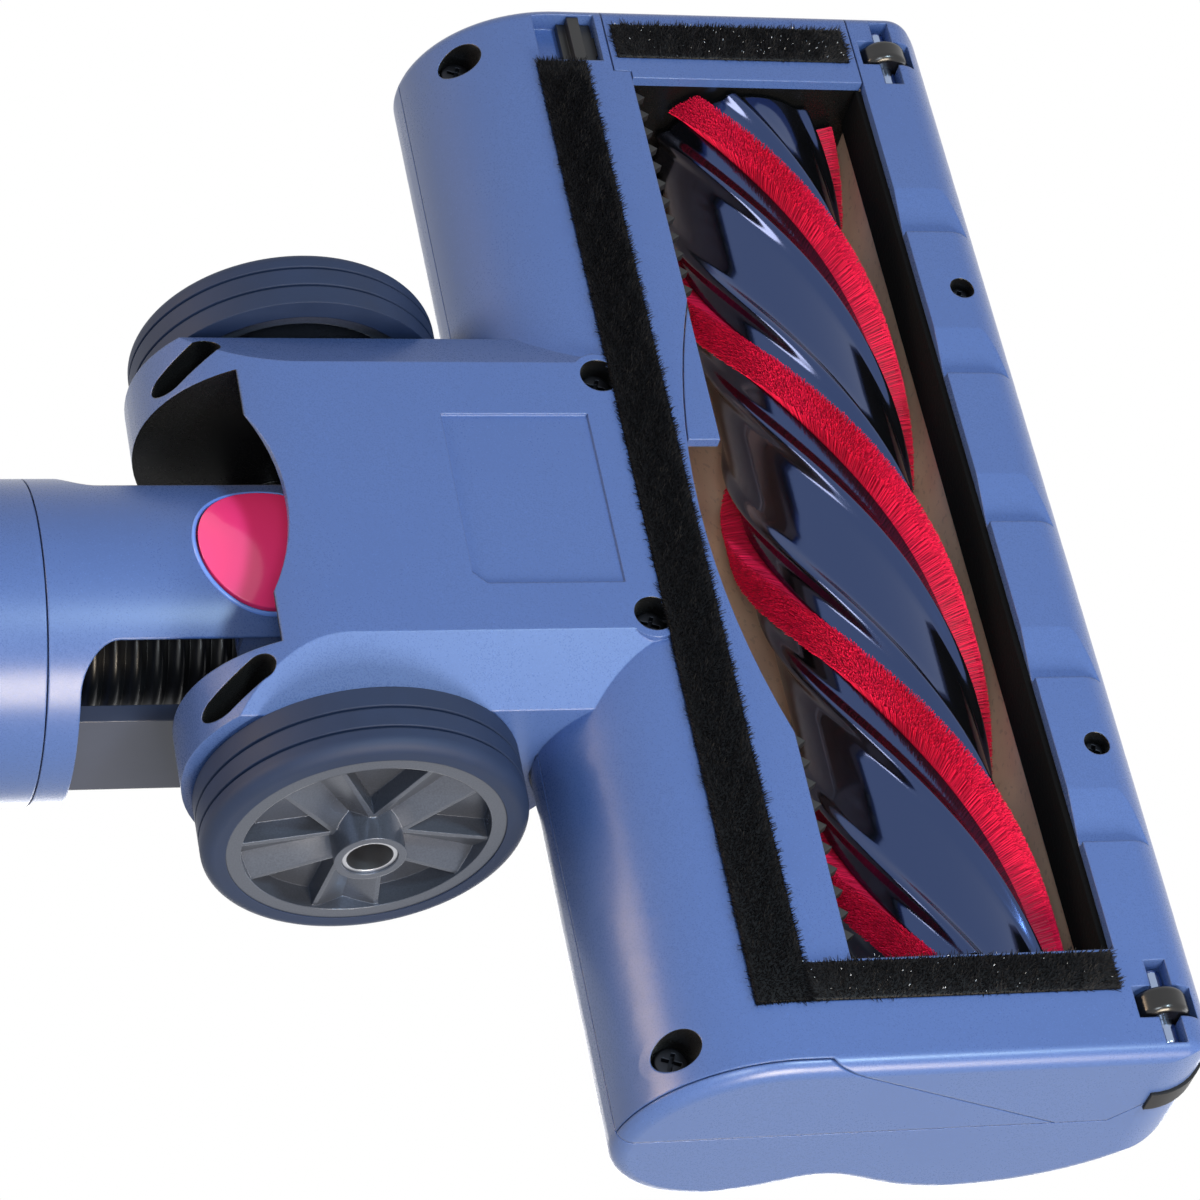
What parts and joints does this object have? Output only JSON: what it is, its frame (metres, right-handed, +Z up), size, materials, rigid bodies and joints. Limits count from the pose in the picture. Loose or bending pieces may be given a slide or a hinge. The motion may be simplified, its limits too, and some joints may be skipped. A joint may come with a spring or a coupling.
{
  "type": "vacuum floor brush head",
  "caption": "Motorised floor head for a stick vacuum: driven bristle brush in a low housing with plush strips, wheels and castors, and a tilting neck with a swivel wand socket.",
  "frame": {"origin": "on the floor, under the centre of the whole head's bounding box", "axes": "+X to the front edge of the head, +Y along the brush to its belt end, +Z up"},
  "size_m": [0.233, 0.2512, 0.0771],
  "materials": {
    "housing": "satin moulded plastic with fine metallic fleck",
    "collar": "satin moulded plastic with fine metallic fleck",
    "bumper": "matte rubber",
    "plush": "short dense pile",
    "bristle": "dense nylon bristle",
    "brush_core": "glossy moulded plastic",
    "tunnel": "matte moulded plastic",
    "liner": "soft felt",
    "duct": "smoked brown plastic",
    "inlet": "satin moulded plastic",
    "fork": "satin moulded plastic",
    "hose": "satin corrugated hose",
    "button": "glossy moulded plastic",
    "latch": "satin moulded plastic",
    "hub": "satin moulded plastic",
    "tyre": "matte rubber",
    "chrome": "polished",
    "steel": "bright zinc",
    "bearing": "sintered bronze",
    "motor": "zinc plated can",
    "pulley": "moulded plastic",
    "belt": "matte rubber",
    "board": "varnished board"
  },
  "bodies": {
    "head": {"sole_housing": "housing", "top_shell": "housing", "front_bumper": "bumper", "throat_lip": "housing", "belt_cover": "housing", "end_cap": "housing", "brush_tunnel": "duct", "front_liner": "liner", "cap_comb": "tunnel", "drive_comb": "tunnel", "suction_duct": "duct", "hose_inlet": "inlet", "rear_plush": "plush", "side_plush": "plush", "cap_plush": "plush", "sole_screws": "steel", "front_screws": "steel", "drive_bearing": "bearing", "cap_bearing": "bearing", "drive_bracket": "tunnel", "drive_motor": "motor", "drive_belt": "belt", "circuit_board": "board", "suction_hose": "hose", "yoke_cap_left": "housing", "yoke_cap_right": "housing", "pivot_pin_left": "steel", "pivot_pin_right": "steel", "wheel_axle_left": "steel", "wheel_axle_right": "steel", "castor_axle_left": "chrome", "castor_axle_right": "chrome"},
    "brush": {"brush_core": "brush_core", "bristle_strip_1": "bristle", "bristle_strip_2": "bristle", "bristle_strip_3": "bristle", "brush_pulley": "pulley"},
    "rotor": {"motor_shaft": "steel", "motor_pulley": "pulley"},
    "wheel_left": {"wheel_hub_left": "hub", "tyre_left": "tyre"},
    "wheel_right": {"wheel_hub_right": "hub", "tyre_right": "tyre"},
    "castor_left": {"castor_wheel_left": "tyre"},
    "castor_right": {"castor_wheel_right": "tyre"},
    "neck": {"neck_shell": "housing", "fork_arm_left": "fork", "fork_arm_right": "fork", "button_spring": "steel"},
    "button": {"release_button": "button"},
    "collar": {"swivel_collar": "collar"},
    "latch": {"latch_slider": "latch"}
  },
  "joints": [
    {"name": "brush_spin", "type": "hinge", "parent": "head", "child": "brush", "pos_m": [0.07425, 0, 0.0214], "axis": [0, 1, 0], "continuous": true},
    {"name": "rotor_spin", "type": "hinge", "parent": "head", "child": "rotor", "pos_m": [0.02945, 0.11, 0.0225], "axis": [0, 1, 0], "continuous": true},
    {"name": "wheel_left_spin", "type": "hinge", "parent": "head", "child": "wheel_left", "pos_m": [-0.02615, 0.051, 0.03], "axis": [0, 1, 0], "continuous": true},
    {"name": "wheel_right_spin", "type": "hinge", "parent": "head", "child": "wheel_right", "pos_m": [-0.02615, -0.051, 0.03], "axis": [0, 1, 0], "continuous": true},
    {"name": "castor_left_spin", "type": "hinge", "parent": "head", "child": "castor_left", "pos_m": [0.10425, 0.114, 0.0052], "axis": [0, 1, 0], "continuous": true},
    {"name": "castor_right_spin", "type": "hinge", "parent": "head", "child": "castor_right", "pos_m": [0.10425, -0.114, 0.0052], "axis": [0, 1, 0], "continuous": true},
    {"name": "neck_tilt", "type": "hinge", "parent": "head", "child": "neck", "pos_m": [-0.02755, 0, 0.0465], "axis": [0, 1, 0], "range_deg": [0, 80], "deforming": ["suction_hose"]},
    {"name": "collar_swivel", "type": "hinge", "parent": "neck", "child": "collar", "pos_m": [-0.09855, 0, 0.0465], "axis": [1, 0, 0], "range_deg": [-90, 90]},
    {"name": "button_press", "type": "slide", "parent": "neck", "child": "button", "axis": [0, 0, 1], "range_m": [0, 0.003], "stiffness_N_per_m": 300, "springref_m": -0.001, "deforming": ["button_spring"]},
    {"name": "latch_slide", "type": "slide", "parent": "head", "child": "latch", "axis": [-1, 0, 0], "range_m": [0, 0.005]}
  ],
  "couplings": [
    {"joint": "rotor_spin", "follows": "brush_spin", "ratio": 2.4}
  ]
}
